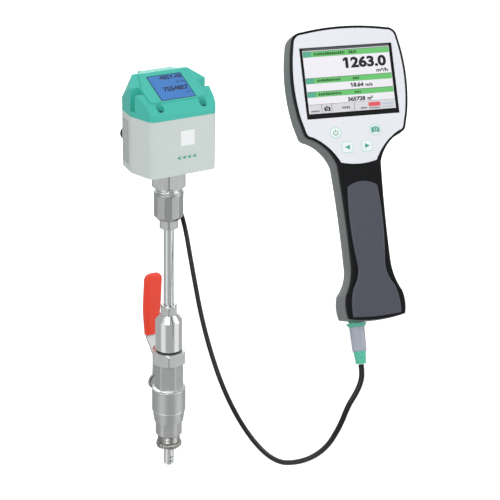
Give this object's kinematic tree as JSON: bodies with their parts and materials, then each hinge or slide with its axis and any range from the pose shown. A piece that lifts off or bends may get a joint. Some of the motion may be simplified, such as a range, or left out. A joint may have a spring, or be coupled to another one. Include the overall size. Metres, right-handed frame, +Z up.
{
  "type": "portable flow meter",
  "caption": "Insertion flow probe with a display head in a clamping fitting on a lever ball valve, cabled to a hand-held display with a screen and a grip.",
  "frame": {"origin": "centre of the weld nipple's open lower end, on the probe's axis", "axes": "+Z up the probe's axis to the display head, -Y out of the head's display side, +X to the right seen from that side"},
  "size_m": [0.1415, 0.3505, 0.4837],
  "materials": {
    "steel_bright": "satin turned",
    "steel_dark": "machined",
    "nickel": "plated",
    "seat_plastic": "matt",
    "red_grip": "dipped, glossy",
    "black_rubber": "matt",
    "teal_cover": "fine texture",
    "pale_housing": "fine texture",
    "lcd_face": "smooth",
    "clear_window": "clear",
    "board_green": "lacquered",
    "case_grey": "fine texture",
    "handle_grey": "fine texture",
    "foil_white": "satin film",
    "screen_glass": "clear",
    "screen_face": "smooth",
    "pack_wrap": "shrink film",
    "plug_grey": "fine texture",
    "cable_black": "satin jacket"
  },
  "bodies": {
    "valve": {"weld_nipple": "steel_dark", "valve_end": "nickel", "valve_body": "nickel", "ball_seats": "seat_plastic", "stem_packing": "seat_plastic", "gland_nut": "nickel", "sleeve_washer": "black_rubber", "fitting_sleeve": "steel_bright", "seal_ring": "black_rubber", "clamp_nut": "steel_bright"},
    "clamp": {"clamp_ring": "steel_bright"},
    "probe": {"probe_tube": "steel_bright", "probe_tip": "steel_bright", "sensing_pins": "steel_bright", "tube_collar": "steel_bright", "coupling_barrel": "steel_bright", "union_ring": "steel_bright", "neck_nut": "steel_bright", "lock_nut": "nickel", "sensor_housing": "pale_housing", "lid_gasket": "black_rubber", "housing_lid": "teal_cover", "lid_screws": "steel_bright", "lcd_window": "clear_window", "lcd_module": "lcd_face", "sensor_board": "board_green", "connector_left": "nickel", "connector_right": "nickel", "dust_cap": "black_rubber", "plug_nut": "nickel", "angled_plug": "black_rubber", "plug_ring": "teal_cover", "plug_sleeve": "plug_grey", "strain_relief": "teal_cover", "cable_run": "cable_black", "front_shell": "handle_grey", "grip_pad": "handle_grey", "rear_shell": "case_grey", "front_foil": "foil_white", "screen_glass": "screen_glass", "display_panel": "screen_face", "main_board": "board_green", "battery_pack": "pack_wrap", "case_screws": "steel_bright", "case_inlet": "nickel"},
    "lever": {"valve_ball": "steel_bright", "valve_stem": "steel_bright", "valve_lever": "steel_bright", "lever_grip": "red_grip", "stem_nut": "steel_bright"}
  },
  "joints": [
    {"name": "probe_turn", "type": "hinge", "parent": "valve", "child": "clamp", "pos_m": [0, 0, 0.15], "axis": [0, 0, 1], "range_deg": [-90, 90]},
    {"name": "probe_insertion", "type": "slide", "parent": "clamp", "child": "probe", "axis": [0, 0, 1], "range_m": [-0.07, 0.1]},
    {"name": "lever_swing", "type": "hinge", "parent": "valve", "child": "lever", "pos_m": [0, 0, 0.061], "axis": [0, 1, 0], "range_deg": [-3, 9]}
  ]
}
